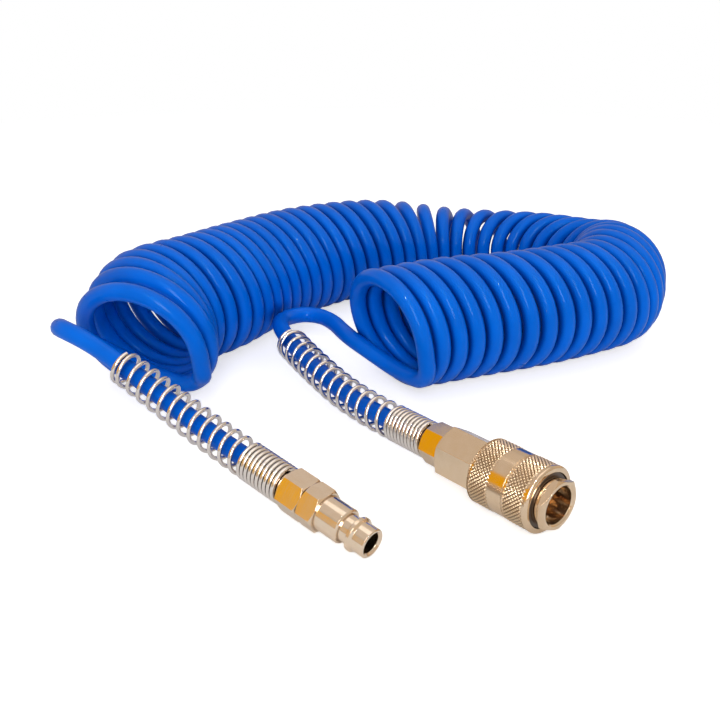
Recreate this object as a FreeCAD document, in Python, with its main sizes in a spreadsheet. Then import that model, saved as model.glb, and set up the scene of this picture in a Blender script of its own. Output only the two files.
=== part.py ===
"""Coiled air hose with a male plug at one end and a female quick coupler at the other.

The hose lies on the floor (z = 0) in a U. Each end runs through an open wire spring into a
fitting. Row frame: +X is the way a mating plug leaves the coupler's socket, +Z is up. Each
fitting is turned about its own X axis, which starts at its mouth or nose and runs to the hose.
"""
import FreeCAD, Part
import math
import os
import Sketcher
from FreeCAD import Placement, Rotation, Vector

doc = FreeCAD.newDocument("coiled_air_hose")
sheet = doc.addObject("Spreadsheet::Sheet", "Sizes")

# Driving dimensions in millimetres, degrees and counts
DIMENSIONS = [
    ("hose_outer_diameter", 8.0, "standard 8 x 5 polyurethane hose"),
    ("hose_bore_diameter", 5.0, ""),
    ("wire_diameter", 1.4, "spring guards, both ends"),
    ("guard_neck_clearance", 0.15, "between a guard's wire and the nut's neck"),
    ("closed_pitch", 1.95, "guard turns on the nut's neck"),
    ("closed_turns", 10, ""),
    ("coupler_guard_turns", 14, "open turns of the guard at the coupler"),
    ("coupler_guard_reach", 85.0, "open part, measured along the hose"),
    ("plug_guard_turns", 13, ""),
    ("plug_guard_reach", 71.0, ""),
    ("nut_across_flats", 15.0, ""),
    ("nut_hex_length", 10.3, ""),
    ("nut_neck_diameter", 11.7, ""),
    ("nut_neck_length", 19.7, ""),
    ("stub_diameter", 11.2, "threaded stub inside a nut"),
    ("stub_length", 6.2, ""),
    ("thread_clearance", 0.05, "radial, between a stub and its nut or socket"),
    ("hose_clearance", 0.1, "radial, between the hose and the nut's bore"),
    ("hose_end_gap", 0.1, "between a stub and the hose's end"),
    ("barb_length", 11.5, "beyond the stub, inside the hose"),
    ("barb_clearance", 0.05, "radial, between barb and hose"),
    ("barb_bore_diameter", 3.4, ""),
    ("corner_chamfer", 0.8, "length of the turned chamfer on hexagon corners"),
    ("plug_bore_diameter", 7.8, ""),
    ("plug_mouth_diameter", 9.4, "chamfered mouth of the plug's bore"),
    ("plug_mouth_depth", 0.8, ""),
    ("plug_tip_diameter", 11.2, ""),
    ("plug_tip_length", 5.3, ""),
    ("plug_tip_chamfer", 0.4, ""),
    ("plug_collar_diameter", 13.2, ""),
    ("plug_collar_length", 2.8, ""),
    ("plug_collar_round", 0.8, "conical shoulders of the locking collar"),
    ("plug_waist_diameter", 10.6, ""),
    ("plug_waist_length", 3.4, ""),
    ("plug_shoulder_diameter", 13.4, ""),
    ("plug_shoulder_length", 10.3, ""),
    ("plug_shoulder_chamfer", 0.6, ""),
    ("plug_across_flats", 15.0, ""),
    ("plug_hex_length", 7.7, ""),
    ("flange_across_flats", 18.0, "hexagon at the coupler's mouth"),
    ("flange_length", 3.0, ""),
    ("barrel_diameter", 18.4, ""),
    ("socket_mouth_diameter", 14.4, "front of the socket, round the mating plug's shoulder"),
    ("socket_mouth_depth", 9.2, "ends in front of the locking balls"),
    ("socket_diameter", 13.8, "bore that takes the mating plug's collar"),
    ("socket_depth", 16.5, ""),
    ("socket_chamfer", 0.7, ""),
    ("tip_bore_diameter", 11.6, "bore that takes the plug's tip"),
    ("tip_bore_length", 5.5, ""),
    ("seal_groove_start", 1.5, "behind the socket bore"),
    ("seal_groove_width", 2.2, ""),
    ("seal_groove_diameter", 14.8, ""),
    ("seal_section_diameter", 1.85, ""),
    ("seal_fit", 0.05, "radial, between a seal and what it sits on"),
    ("seat_hole_diameter", 10.6, "opening that the valve closes"),
    ("seat_thickness", 1.0, ""),
    ("chamber_diameter", 12.8, "valve chamber"),
    ("barrel_thread_diameter", 15.2, ""),
    ("barrel_thread_length", 7.9, ""),
    ("sleeve_outer_diameter", 26.0, ""),
    ("sleeve_length", 28.2, ""),
    ("sleeve_front_gap", 1.9, "bare barrel between the flange and the sleeve"),
    ("sleeve_edge_chamfer", 1.2, ""),
    ("sleeve_rear_chamfer", 0.8, ""),
    ("sleeve_band_start", 11.6, "smooth band between the knurled ones, from the sleeve's front"),
    ("sleeve_band_width", 6.4, ""),
    ("sleeve_band_depth", 0.25, ""),
    ("sleeve_travel", 3.5, ""),
    ("ring_recess", 0.5, "retaining ring behind the sleeve's front face"),
    ("ring_thickness", 0.9, ""),
    ("ring_outer_diameter", 21.1, ""),
    ("ring_width", 1.85, "radial"),
    ("ring_groove_depth", 0.6, "below the barrel in front of the ring"),
    ("ring_gap_width", 3.0, "the ring is open at one side"),
    ("ring_clearance", 0.1, "between the ring and its groove or stop"),
    ("recess_clearance", 0.3, "radial, ring to the sleeve's front recess"),
    ("release_diameter", 20.8, "sleeve bore that lets the balls move outwards"),
    ("land_diameter", 19.3, "sleeve bore that holds the balls inwards"),
    ("land_length", 2.9, ""),
    ("ramp_length", 2.4, "cone between land and release bore"),
    ("ramp_lead", 0.1, "cone starts this far in front of the balls' centres"),
    ("skirt_clearance", 0.33, "radial, the sleeve's skirt over the adapter's corners"),
    ("adapter_across_flats", 19.0, ""),
    ("adapter_hex_length", 19.2, ""),
    ("adapter_collar_length", 1.0, "round collar inside the sleeve's skirt"),
    ("adapter_collar_diameter", 21.8, ""),
    ("adapter_socket_depth", 9.4, "threaded socket for the barrel"),
    ("ball_diameter", 3.6, ""),
    ("ball_depth", 11.7, "balls' centres behind the coupler's mouth"),
    ("ball_circle_diameter", 15.4, "balls' centres with the sleeve forward"),
    ("ball_hole_clearance", 0.1, ""),
    ("ball_seat_diameter", 3.28, "narrow inner end of a ball hole"),
    ("ball_hole_inset", 0.3, "a ball hole starts this far inside the socket's wall"),
    ("ball_seat_drop", 0.25, "the hole's cone ends this far inside the ball's centre"),
    ("ball_count", 4, ""),
    ("spring_clearance", 0.35, "radial, sleeve spring to barrel and skirt"),
    ("spring_end_gap", 0.1, "between a spring's end and its seat"),
    ("poppet_nose_diameter", 10.0, ""),
    ("poppet_bore_diameter", 7.2, ""),
    ("poppet_nose_lead", 4.3, "nose stands in front of the seat"),
    ("poppet_window_diameter", 2.0, ""),
    ("poppet_window_lead", 1.2, "windows' centres in front of the valve seat"),
    ("poppet_window_count", 4, ""),
    ("poppet_head_diameter", 12.2, ""),
    ("poppet_head_thickness", 2.0, ""),
    ("poppet_stem_diameter", 4.8, ""),
    ("poppet_stem_length", 6.7, ""),
    ("valve_seal_thickness", 1.2, ""),
    ("valve_seal_gap", 0.1, "valve seal to the seat"),
    ("valve_spring_inner", 7.4, ""),
    ("valve_spring_outer", 10.4, ""),
    ("adapter_seal_inner", 11.8, ""),
    ("adapter_seal_outer", 14.8, ""),
    ("adapter_seal_gap", 0.05, "seal to the barrel's end and to the socket's floor"),
]
CELL_COLUMN = "B"
for row, (alias, value, note) in enumerate(DIMENSIONS, start=1):
    sheet.set("A%d" % row, alias.replace("_", " "))
    sheet.set("%s%d" % (CELL_COLUMN, row), str(value))
    sheet.setAlias("%s%d" % (CELL_COLUMN, row), alias)
    sheet.set("C%d" % row, note)
doc.recompute()


class Length:
    """A length worked out from the sheet: its value now, and the expression that keeps it bound."""

    def __init__(self, value, text):
        self.value = value
        self.text = text

    def __add__(self, other):
        return Length(self.value + other.value, "%s + %s" % (self.text, other.text))

    def __sub__(self, other):
        return Length(self.value - other.value, "%s - (%s)" % (self.text, other.text))

    def __neg__(self):
        return Length(-self.value, "-(%s)" % self.text)

    def __mul__(self, factor):
        return Length(self.value * factor, "(%s) * %.9f" % (self.text, factor))

    def __truediv__(self, divisor):
        return Length(self.value / divisor, "(%s) / %d" % (self.text, divisor))


def size(alias):
    """A driving dimension as a number."""
    return float(sheet.get(alias))


def cell(alias):
    """A driving dimension as a length that stays bound to its cell."""
    return Length(size(alias), "Sizes." + alias)


def half(alias):
    return cell(alias) / 2


def smaller(first, second):
    return Length(min(first.value, second.value), "min(%s; %s)" % (first.text, second.text))


# The layout is drawn in its own plan. This step puts the row's origin under the middle of the
# box round the fittings and the spring guards.
PLAN_TO_ROW = Vector(-0.92, 0.04, 0)

# Where the fittings lie on the floor
COUPLER_MOUTH = Vector(85.4, 35.0, size("sleeve_outer_diameter") / 2) + PLAN_TO_ROW
PLUG_NOSE = Vector(51.7, -22.3, size("plug_tip_diameter") / 2) + PLAN_TO_ROW
PLUG_TURN = 8.0
PLUG_RISE = 9.5
coupler_place = Placement(COUPLER_MOUTH, Rotation(180, 0, 0))
plug_place = Placement(PLUG_NOSE, Rotation(180 + PLUG_TURN, -PLUG_RISE, 0))

HEX_SIDES = 6
CORNER_OVER_FLAT = 1 / math.cos(math.pi / HEX_SIDES)
FULL_TURN = 360

# A fitting's own front end on its axis, and the axis itself
FRONT = Length(0, "0")
AXIS = Length(0, "0")

# Turned and hexagonal pieces

def origin_feature(body, role):
    """The body's own origin plane or axis with this role."""
    return [item for item in body.Origin.OriginFeatures if item.Role == role][0]


def new_body(label, place):
    body = doc.addObject("PartDesign::Body", label)
    body.Label = label
    body.Placement = place
    return body


def profile_sketch(body, name, points):
    """Closed outline on the body's XZ plane; each point is (x, radius) as two lengths."""
    sketch = body.newObject("Sketcher::SketchObject", name)
    sketch.AttachmentSupport = [(origin_feature(body, "XZ_Plane"), "")]
    sketch.MapMode = "FlatFace"
    places = [Vector(x.value, radius.value, 0) for x, radius in points]
    count = len(points)
    for index in range(count):
        line = Part.LineSegment(places[index], places[(index + 1) % count])
        sketch.addGeometry(line, False)
    for index in range(count):
        sketch.addConstraint(Sketcher.Constraint("Coincident", index, 2, (index + 1) % count, 1))
    for index, (x, radius) in enumerate(points):
        for kind, distance in (("DistanceX", x), ("DistanceY", radius)):
            number = sketch.addConstraint(Sketcher.Constraint(kind, index, 1, distance.value))
            sketch.setExpression("Constraints[%d]" % number, distance.text)
    return sketch


def turn(body, name, points, cut=False):
    """Solid of revolution about X, added to the body or cut out of it."""
    sketch = profile_sketch(body, name + "_outline", points)
    feature = body.newObject("PartDesign::Groove" if cut else "PartDesign::Revolution", name)
    feature.Profile = sketch
    feature.ReferenceAxis = (sketch, ["H_Axis"])
    feature.Angle = FULL_TURN
    return feature


def hexagon(body, name, start, length, across_flats, roll):
    """Hexagonal prism along X whose corner lies at the angle roll, with turned corner chamfers."""
    prism = body.newObject("PartDesign::AdditivePrism", name)
    prism.AttachmentSupport = [(origin_feature(body, "YZ_Plane"), "")]
    prism.MapMode = "FlatFace"
    prism.AttachmentOffset = Placement(Vector(0, 0, start.value), Rotation(Vector(0, 0, 1), roll))
    flat = across_flats / 2
    corner = flat * CORNER_OVER_FLAT
    end = start + length
    prism.Polygon = HEX_SIDES
    prism.setExpression("AttachmentOffset.Base.z", start.text)
    prism.setExpression("Height", length.text)
    prism.setExpression("Circumradius", corner.text)
    chamfer = cell("corner_chamfer")
    beyond = corner + chamfer
    turn(body, name + "_front_chamfer", [
        (start, flat), (start, beyond), (start + chamfer, beyond), (start + chamfer, corner)], cut=True)
    turn(body, name + "_rear_chamfer", [
        (end, flat), (end, beyond), (end - chamfer, beyond), (end - chamfer, corner)], cut=True)


def ring(label, place, start, end, inner, outer):
    """Plain turned ring between two x positions."""
    body = new_body(label, place)
    turn(body, "Ring", [(start, inner), (end, inner), (end, outer), (start, outer)])
    return body


def cross_hole(body, name, kind, x, start, height, radii):
    """Round hole along the body's Z axis at this x: a SubtractiveCylinder or SubtractiveCone."""
    hole = body.newObject("PartDesign::" + kind, name)
    hole.AttachmentSupport = [(origin_feature(body, "XY_Plane"), "")]
    hole.MapMode = "FlatFace"
    hole.setExpression("AttachmentOffset.Base.x", x.text)
    hole.setExpression("AttachmentOffset.Base.z", start.text)
    hole.setExpression("Height", height.text)
    for property_name, radius in radii.items():
        hole.setExpression(property_name, radius.text)
    return hole


def repeat_round_axis(body, holes, count):
    """The same holes at equal turns round X."""
    doc.recompute()
    pattern = body.newObject("PartDesign::PolarPattern", "Round_axis")
    pattern.Originals = holes
    pattern.Axis = (origin_feature(body, "X_Axis"), [""])
    pattern.Angle = FULL_TURN
    pattern.setExpression("Occurrences", count.text)
    body.Tip = pattern
    return pattern


def hose_end_outline(start):
    """Threaded stub and hose barb that follow a hexagon, down to the axis."""
    stub_end = start + cell("stub_length")
    barb_end = stub_end + cell("barb_length")
    barb = half("hose_bore_diameter") - cell("barb_clearance")
    return [(start, half("stub_diameter")), (stub_end, half("stub_diameter")),
            (stub_end, barb), (barb_end, barb), (barb_end, AXIS)]


def spring_nut(label, place, start):
    """Clamping nut with the neck that carries the spring guard; start is its front face."""
    body = new_body(label, place)
    hex_end = start + cell("nut_hex_length")
    neck_end = hex_end + cell("nut_neck_length")
    hose_end = start + cell("stub_length") + cell("hose_end_gap")
    inside_flats = half("nut_across_flats") - cell("corner_chamfer")
    thread = half("stub_diameter") + cell("thread_clearance")
    passage = half("hose_outer_diameter") + cell("hose_clearance")
    turn(body, "Outside", [
        (start, AXIS), (start, inside_flats), (hex_end, inside_flats),
        (hex_end, half("nut_neck_diameter")), (neck_end, half("nut_neck_diameter")), (neck_end, AXIS)])
    hexagon(body, "Hexagon", start, cell("nut_hex_length"), cell("nut_across_flats"), NUT_ROLL)
    turn(body, "Bore", [
        (start, AXIS), (start, thread), (hose_end, thread), (hose_end, passage),
        (neck_end, passage), (neck_end, AXIS)], cut=True)
    return body


# A hexagon's roll is the angle of its first corner from the fitting's own Y axis
NUT_ROLL = 0.0
PLUG_ROLL = 0.0
ADAPTER_ROLL = 30.0
FLANGE_ROLL = 22.0

# Plug, from its nose back
tip_end = cell("plug_tip_length")
collar_end = tip_end + cell("plug_collar_length")
waist_end = collar_end + cell("plug_waist_length")
shoulder_end = waist_end + cell("plug_shoulder_length")
plug_hex_end = shoulder_end + cell("plug_hex_length")


def make_plug():
    body = new_body("plug_body", plug_place)
    tip = half("plug_tip_diameter")
    collar = half("plug_collar_diameter")
    slope = cell("plug_collar_round")
    waist = half("plug_waist_diameter")
    shoulder = half("plug_shoulder_diameter")
    edge = cell("plug_shoulder_chamfer")
    nose_edge = cell("plug_tip_chamfer")
    turn(body, "Outside", [
        (FRONT, AXIS), (FRONT, tip - nose_edge), (nose_edge, tip), (tip_end, tip),
        (tip_end + slope, collar), (collar_end - slope, collar),
        (collar_end, waist), (waist_end, waist),
        (waist_end, shoulder - edge), (waist_end + edge, shoulder),
        (plug_hex_end, shoulder)] + hose_end_outline(plug_hex_end))
    hexagon(body, "Hexagon", shoulder_end, cell("plug_hex_length"), cell("plug_across_flats"), PLUG_ROLL)
    barb_end = plug_hex_end + cell("stub_length") + cell("barb_length")
    turn(body, "Bore", [
        (FRONT, AXIS), (FRONT, half("plug_mouth_diameter")),
        (cell("plug_mouth_depth"), half("plug_bore_diameter")),
        (shoulder_end, half("plug_bore_diameter")), (shoulder_end, half("barb_bore_diameter")),
        (barb_end, half("barb_bore_diameter")), (barb_end, AXIS)], cut=True)
    return body


# Coupler, from its mouth back
sleeve_front = cell("flange_length") + cell("sleeve_front_gap")
sleeve_rear = sleeve_front + cell("sleeve_length")
collar_start = sleeve_rear - cell("adapter_collar_length")
adapter_hex_end = sleeve_rear + cell("adapter_hex_length")
barrel_end = collar_start + cell("barrel_thread_length")
adapter_floor = collar_start + cell("adapter_socket_depth")
ring_start = sleeve_front + cell("ring_recess")
ring_end = ring_start + cell("ring_thickness")
land_start = cell("ball_depth") - cell("ramp_lead")
land_end = land_start + cell("land_length")
seal_start = cell("socket_depth") + cell("seal_groove_start")
seal_end = seal_start + cell("seal_groove_width")
tip_bore_end = cell("socket_depth") + cell("tip_bore_length")
seat_end = tip_bore_end + cell("seat_thickness")
skirt = half("adapter_across_flats") * CORNER_OVER_FLAT + cell("skirt_clearance")
ring_inner = half("ring_outer_diameter") - cell("ring_width")
ring_groove = ring_inner - cell("ring_clearance")


def make_coupler_body():
    body = new_body("coupler_body", coupler_place)
    flange = cell("flange_length")
    barrel = half("barrel_diameter")
    ring_stop = ring_groove + cell("ring_groove_depth")
    thread = half("barrel_thread_diameter")
    inside_flats = half("flange_across_flats") - cell("corner_chamfer")
    groove_start = ring_start - cell("ring_clearance")
    groove_end = ring_end + cell("ring_clearance")
    turn(body, "Outside", [
        (FRONT, AXIS), (FRONT, inside_flats), (flange, inside_flats), (flange, ring_stop),
        (groove_start, ring_stop), (groove_start, ring_groove), (groove_end, ring_groove),
        (groove_end, barrel), (collar_start, barrel), (collar_start, thread),
        (barrel_end, thread), (barrel_end, AXIS)])
    hexagon(body, "Flange", FRONT, flange, cell("flange_across_flats"), FLANGE_ROLL)
    mouth = half("socket_mouth_diameter")
    socket = half("socket_diameter")
    tip_bore = half("tip_bore_diameter")
    groove = half("seal_groove_diameter")
    seat = half("seat_hole_diameter")
    chamber = half("chamber_diameter")
    turn(body, "Bore", [
        (FRONT, AXIS), (FRONT, mouth + cell("socket_chamfer")), (cell("socket_chamfer"), mouth),
        (cell("socket_mouth_depth"), mouth), (cell("socket_mouth_depth"), socket),
        (cell("socket_depth"), socket), (cell("socket_depth"), tip_bore),
        (seal_start, tip_bore), (seal_start, groove), (seal_end, groove), (seal_end, tip_bore),
        (tip_bore_end, tip_bore), (tip_bore_end, seat), (seat_end, seat),
        (seat_end, chamber), (barrel_end, chamber), (barrel_end, AXIS)], cut=True)
    hole = half("ball_diameter") + cell("ball_hole_clearance")
    inner_end = socket - cell("ball_hole_inset")
    cone_end = half("ball_circle_diameter") - cell("ball_seat_drop")
    outer_end = barrel + cell("ball_hole_inset")
    cone = cross_hole(
        body, "Ball_seat", "SubtractiveCone", cell("ball_depth"), inner_end, cone_end - inner_end,
        {"Radius1": half("ball_seat_diameter"), "Radius2": hole})
    straight = cross_hole(
        body, "Ball_hole", "SubtractiveCylinder", cell("ball_depth"), cone_end,
        outer_end - cone_end, {"Radius": hole})
    repeat_round_axis(body, [cone, straight], cell("ball_count"))
    return body


# The sleeve's front chamfer takes at most this share of the wall round the ring's recess
EDGE_SHARE = 0.6


def make_sleeve():
    body = new_body("coupler_sleeve", coupler_place)
    outside = half("sleeve_outer_diameter")
    recess = half("ring_outer_diameter") + cell("recess_clearance")
    edge = smaller(cell("sleeve_edge_chamfer"), (outside - recess) * EDGE_SHARE)
    rear_edge = cell("sleeve_rear_chamfer")
    band_start = sleeve_front + cell("sleeve_band_start")
    band_end = band_start + cell("sleeve_band_width")
    band = outside - cell("sleeve_band_depth")
    stop = ring_end + cell("ring_clearance")
    turn(body, "Sleeve", [
        (sleeve_front, recess), (sleeve_front, outside - edge),
        (sleeve_front + edge, outside), (band_start, outside), (band_start, band),
        (band_end, band), (band_end, outside), (sleeve_rear - rear_edge, outside),
        (sleeve_rear, outside - rear_edge), (sleeve_rear, skirt), (land_end, skirt),
        (land_end, half("land_diameter")), (land_start, half("land_diameter")),
        (land_start - cell("ramp_length"), half("release_diameter")),
        (stop, half("release_diameter")), (stop, recess)])
    return body


def make_retaining_ring():
    """Snap ring in the barrel's groove, open at the bottom."""
    body = ring("sleeve_retaining_ring", coupler_place, ring_start, ring_end,
                ring_inner, half("ring_outer_diameter"))
    slot = body.newObject("PartDesign::SubtractiveBox", "Gap")
    slot.AttachmentSupport = [(origin_feature(body, "XY_Plane"), "")]
    slot.MapMode = "FlatFace"
    slot.setExpression("AttachmentOffset.Base.x", ring_start.text)
    slot.setExpression("AttachmentOffset.Base.y", (-half("ring_gap_width")).text)
    slot.setExpression("AttachmentOffset.Base.z", (-cell("ring_outer_diameter")).text)
    slot.setExpression("Length", cell("ring_thickness").text)
    slot.setExpression("Width", cell("ring_gap_width").text)
    slot.setExpression("Height", cell("ring_outer_diameter").text)
    return body


def make_adapter():
    body = new_body("coupler_adapter", coupler_place)
    inside_flats = half("adapter_across_flats") - cell("corner_chamfer")
    turn(body, "Outside", [
        (collar_start, AXIS), (collar_start, half("adapter_collar_diameter")),
        (sleeve_rear, half("adapter_collar_diameter")), (sleeve_rear, inside_flats),
        (adapter_hex_end, inside_flats)] + hose_end_outline(adapter_hex_end))
    hexagon(body, "Hexagon", sleeve_rear, cell("adapter_hex_length"), cell("adapter_across_flats"),
            ADAPTER_ROLL)
    thread = half("barrel_thread_diameter") + cell("thread_clearance")
    barb_end = adapter_hex_end + cell("stub_length") + cell("barb_length")
    turn(body, "Bore", [
        (collar_start, AXIS), (collar_start, thread), (adapter_floor, thread),
        (adapter_floor, half("barb_bore_diameter")), (barb_end, half("barb_bore_diameter")),
        (barb_end, AXIS)], cut=True)
    return body


def make_valve():
    """Poppet with its face seal and spring, and the fixed seals beside it."""
    nose_front = tip_bore_end - cell("poppet_nose_lead")
    seal_front = seat_end + cell("valve_seal_gap")
    head_start = seal_front + cell("valve_seal_thickness")
    head_end = head_start + cell("poppet_head_thickness")
    stem_end = head_end + cell("poppet_stem_length")
    nose = half("poppet_nose_diameter")
    head = half("poppet_head_diameter")
    stem = half("poppet_stem_diameter")
    body = new_body("valve_poppet", coupler_place)
    turn(body, "Outside", [
        (nose_front, AXIS), (nose_front, nose), (head_start, nose), (head_start, head),
        (head_end, head), (head_end, stem), (stem_end, stem), (stem_end, AXIS)])
    turn(body, "Cup", [
        (nose_front, AXIS), (nose_front, half("poppet_bore_diameter")),
        (head_start, half("poppet_bore_diameter")), (head_start, AXIS)], cut=True)
    window = cross_hole(
        body, "Window", "SubtractiveCylinder", seat_end - cell("poppet_window_lead"), AXIS,
        cell("poppet_nose_diameter"), {"Radius": half("poppet_window_diameter")})
    repeat_round_axis(body, [window], cell("poppet_window_count"))
    ring("valve_seal", coupler_place, seal_front, head_start, nose + cell("seal_fit"), head)
    ring("valve_spring", coupler_place, head_end + cell("spring_end_gap"),
         adapter_floor - cell("spring_end_gap"), half("valve_spring_inner"), half("valve_spring_outer"))
    ring("adapter_seal", coupler_place, barrel_end + cell("adapter_seal_gap"),
         adapter_floor - cell("adapter_seal_gap"), half("adapter_seal_inner"), half("adapter_seal_outer"))


def make_socket_seal():
    """Rubber ring in the socket's groove, which seals on a mating plug's tip."""
    seal = doc.addObject("Part::Torus", "socket_seal")
    seal.Label = "socket_seal"
    section = half("seal_section_diameter")
    middle = seal_start + half("seal_groove_width")
    seal.setExpression("Radius2", section.text)
    seal.setExpression("Radius1", (half("seal_groove_diameter") - cell("seal_fit") - section).text)
    seal.Placement = coupler_place * Placement(Vector(middle.value, 0, 0), Rotation(Vector(0, 1, 0), 90))
    return seal


def make_balls():
    for index in range(int(size("ball_count"))):
        label = "locking_ball_%d" % (index + 1)
        ball = doc.addObject("Part::Sphere", label)
        ball.Label = label
        ball.setExpression("Radius", half("ball_diameter").text)
        spoke = Rotation(Vector(1, 0, 0), FULL_TURN / size("ball_count") * index)
        centre = Vector(size("ball_depth"), 0, size("ball_circle_diameter") / 2)
        ball.Placement = coupler_place * Placement(Vector(), spoke) * Placement(centre, Rotation())


# Paths made of straight runs and arcs

# Offset from its own direction under which an arc is a straight line
STRAIGHT = 1e-9
# Half the step, in turns, over which a wound curve's direction is measured
SMALL_TURN = 1e-4
# Biarcs in one turn of a wound curve
STEPS_PER_TURN = 4
# Share of the shorter run that the arc at a route's point takes
CORNER_SHARE = 0.45
# Points in a turn, and turns ahead, for which the gap of a wound curve to itself is measured
GAP_STEPS = 36
GAP_TURNS = 2


def tangent_arc(start, direction, end):
    """Edge from start to end that leaves start in this direction."""
    chord = end - start
    side = chord - direction * chord.dot(direction)
    if side.Length < STRAIGHT:
        return Part.LineSegment(start, end).toShape()
    side.normalize()
    radius = chord.dot(chord) / (2 * chord.dot(side))
    half_turn = math.acos(max(-1, min(1, chord.dot(direction) / chord.Length)))
    middle = start + side * (radius * (1 - math.cos(half_turn))) + direction * (radius * math.sin(half_turn))
    return Part.Arc(start, middle, end).toShape()


def biarc(start, start_direction, end, end_direction):
    """Two arcs that share a tangent where they meet."""
    chord = end - start
    both = start_direction + end_direction
    a = 2 * (1 - start_direction.dot(end_direction))
    b = 2 * chord.dot(both)
    c = chord.dot(chord)
    reach = c / b if a < STRAIGHT else (math.sqrt(b * b + 4 * a * c) - b) / (2 * a)
    meeting = ((start + start_direction * reach) + (end - end_direction * reach)) * 0.5
    first = tangent_arc(start, start_direction, meeting)
    return [first, tangent_arc(meeting, first.tangentAt(first.LastParameter), end)]


def wound_edges(place_at, start, end):
    """Quarter-turn biarcs along a wound curve, whose parameter counts turns."""
    steps = max(1, round((end - start) * STEPS_PER_TURN))
    turns = [start + (end - start) * index / steps for index in range(steps + 1)]
    points = [place_at(turn_count) for turn_count in turns]
    directions = [heading(place_at, turn_count) for turn_count in turns]
    edges = []
    for index in range(steps):
        edges += biarc(points[index], directions[index], points[index + 1], directions[index + 1])
    return edges


def heading(place_at, turn_count):
    """Direction in which a wound curve runs."""
    step = place_at(turn_count + SMALL_TURN) - place_at(turn_count - SMALL_TURN)
    return step.normalize()


def route_edges(label, points):
    """Straight runs joined by tangent arcs, each as large as its two runs allow."""
    edges = []
    reached = points[0]
    radii = []
    for index in range(1, len(points) - 1):
        before = points[index] - points[index - 1]
        after = points[index + 1] - points[index]
        cut_back = CORNER_SHARE * min(before.Length, after.Length)
        radii.append(cut_back / math.tan(before.getAngle(after) / 2))
        before.normalize()
        after.normalize()
        arc_start = points[index] - before * cut_back
        edges.append(Part.LineSegment(reached, arc_start).toShape())
        reached = points[index] + after * cut_back
        edges.append(tangent_arc(arc_start, before, reached))
    edges.append(Part.LineSegment(reached, points[-1]).toShape())
    print(label, "arc radii", ", ".join("%.1f" % radius for radius in radii))
    return edges


def swept(edges, diameter):
    """Solid of round section along the edges."""
    first = edges[0]
    start = first.valueAt(first.FirstParameter)
    section = Part.Wire([Part.makeCircle(diameter / 2, start, first.tangentAt(first.FirstParameter))])
    shell = Part.BRepOffsetAPI.MakePipeShell(Part.Wire(edges))
    shell.add(section)
    shell.build()
    shell.makeSolid()
    return shell.shape()


def shown(label, shape):
    """Document object for a shape worked out here."""
    item = doc.addObject("Part::Feature", label)
    item.Label = label
    item.Shape = shape
    return item


def hose_piece(label, edges):
    outer = size("hose_outer_diameter")
    bore = size("hose_bore_diameter")
    item = shown(label, swept(edges, outer).cut(swept(edges, bore)))
    length = Part.Wire(edges).Length
    section = math.pi * (outer * outer - bore * bore) / 4
    share = item.Shape.Volume / (section * length)
    print("%s %.1f mm long, volume over section times length %.4f" % (label, length, share))
    return length


def least_gap(label, place_at, start, end, diameter):
    """Least gap between turns, from points to the chords of the turns beside them."""
    count = round((end - start) * GAP_STEPS)
    points = [place_at(start + (end - start) * index / count) for index in range(count + 1)]
    least = None
    for index in range(count + 1):
        for other in range(index + GAP_STEPS // 2, min(index + GAP_TURNS * GAP_STEPS, count)):
            chord = points[other + 1] - points[other]
            offset = points[index] - points[other]
            share = max(0, min(1, offset.dot(chord) / chord.dot(chord)))
            distance = (offset - chord * share).Length
            if least is None or distance < least:
                least = distance
    print("%s least gap to itself %.2f mm" % (label, least - diameter))


# The coil's centre line. Each station gives, at a count of turns from the coupler's end, where the
# coil's middle lies on the floor plan, the way its axis points, how far that leans up, and the
# radius of the turns there. Between stations every value runs on a smooth cubic.
#            turns   x       y      points leans radius
STATIONS = [
    (0, -46.2, 70.4, 88, 12, 26),
    (4, -34.6, 106.3, 88, 10, 26.5),
    (8, -22.4, 142, 89, 10, 25.5),
    (12, -13.9, 177.3, 90, 11, 25.5),
    (14, -13, 195.7, 90, 11, 25),
    (16, -21, 213.4, 93, 9, 25),
    (18, -37, 231, 107, 3, 23),
    (20, -59, 243.5, 127, -3, 21),
    (23, -100, 247, 167, -9, 18.5),
    (27, -140.5, 219, 218, -7, 19),
    (31, -153.5, 169.5, 258, -15, 24.5),
    (36, -156.5, 118.5, 271, -17, 26.5),
    (41, -149, 72.5, 274, -16, 27.5),
    (45, -140.5, 35.5, 278, -16, 28),
    (48, -131.5, 6, 286, -14, 29),
    (50, -110.5, -15.5, 307, -20, 29),
    (51.25, -96, -29, 319, -28, 27.5),
]
FIRST_TURN_ANGLE = -100
FLOOR_GAP = 0.05
COIL_START = 0.28
COIL_STRETCHES = [
    ("hose_coil_front_leg", 13.19), ("hose_coil_bend", 24.19),
    ("hose_coil_back_run", 37.19), ("hose_coil_left_leg", 50.78)]


def station_value(column, turns):
    """Value of a station column at this count of turns."""
    last = len(STATIONS) - 1
    index = max(place for place in range(last) if STATIONS[place][0] <= turns or place == 0)

    def slope(place):
        low = max(place - 1, 0)
        high = min(place + 1, last)
        return (STATIONS[high][column] - STATIONS[low][column]) / (STATIONS[high][0] - STATIONS[low][0])
    span = STATIONS[index + 1][0] - STATIONS[index][0]
    share = (turns - STATIONS[index][0]) / span
    rest = 1 - share
    return (STATIONS[index][column] * (1 + 2 * share) * rest ** 2
            + STATIONS[index + 1][column] * share ** 2 * (3 - 2 * share)
            + span * share * rest * (slope(index) * rest - slope(index + 1) * share))


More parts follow.
